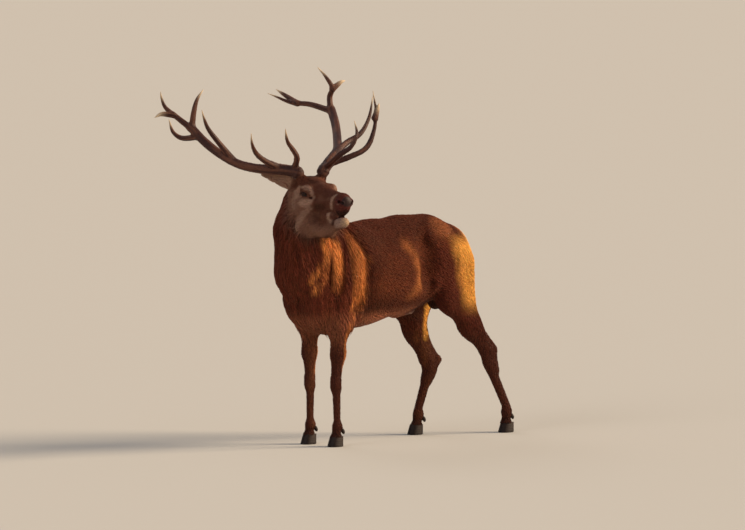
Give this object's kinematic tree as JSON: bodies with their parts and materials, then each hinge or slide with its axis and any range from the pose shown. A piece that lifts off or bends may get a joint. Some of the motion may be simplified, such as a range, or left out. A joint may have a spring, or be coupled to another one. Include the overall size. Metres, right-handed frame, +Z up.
{
  "type": "red deer stag",
  "caption": "Standing adult red deer stag with branched antlers and a shaggy neck mane, head turned over its left shoulder, mouth a little open.",
  "frame": {"origin": "on the floor, under the middle of the bounding box", "axes": "+Z up, -Y the way the trunk faces, +X the stag's left"},
  "size_m": [1.0952, 1.8152, 1.9023],
  "materials": {
    "coat": "short red-brown fur",
    "mane": "long dark brown fur",
    "antler": "dry ridged antler, pale at the tips",
    "hoof": "dark horn",
    "eye": "wet dark eye"
  },
  "bodies": {
    "root": {"antler_right_burr": "antler", "antler_right_beam": "antler", "antler_right_brow": "antler", "antler_right_bez": "antler", "antler_right_trez": "antler", "antler_right_crown_inner": "antler", "antler_right_crown_outer": "antler", "antler_right_crown_side": "antler", "antler_right_crown_back": "antler", "antler_left_burr": "antler", "antler_left_beam": "antler", "antler_left_brow": "antler", "antler_left_bez": "antler", "antler_left_bez_side": "antler", "antler_left_trez": "antler", "antler_left_crown_inner": "antler", "antler_left_crown_outer": "antler", "antler_left_crown_back": "antler", "antler_left_crown_fork": "antler", "eye_left": "eye", "eye_right": "eye", "foreleg_left_claw_inner": "hoof", "foreleg_left_dewclaw_inner": "hoof", "foreleg_left_claw_outer": "hoof", "foreleg_left_dewclaw_outer": "hoof", "foreleg_right_claw_inner": "hoof", "foreleg_right_dewclaw_inner": "hoof", "foreleg_right_claw_outer": "hoof", "foreleg_right_dewclaw_outer": "hoof", "hindleg_left_claw_inner": "hoof", "hindleg_left_dewclaw_inner": "hoof", "hindleg_left_claw_outer": "hoof", "hindleg_left_dewclaw_outer": "hoof", "hindleg_right_claw_inner": "hoof", "hindleg_right_dewclaw_inner": "hoof", "hindleg_right_claw_outer": "hoof", "hindleg_right_dewclaw_outer": "hoof", "ear_left": "coat", "ear_right": "coat", "lower_jaw": "coat", "head": "coat", "tail": "coat", "foreleg_left_upper": "coat", "foreleg_left_lower": "mane", "foreleg_right_upper": "coat", "foreleg_right_lower": "mane", "hindleg_left_upper": "coat", "hindleg_left_lower": "mane", "hindleg_right_upper": "coat", "hindleg_right_lower": "mane", "neck": "mane", "thigh_left": "coat", "thigh_right": "coat", "trunk": "coat"}
  },
  "joints": []
}
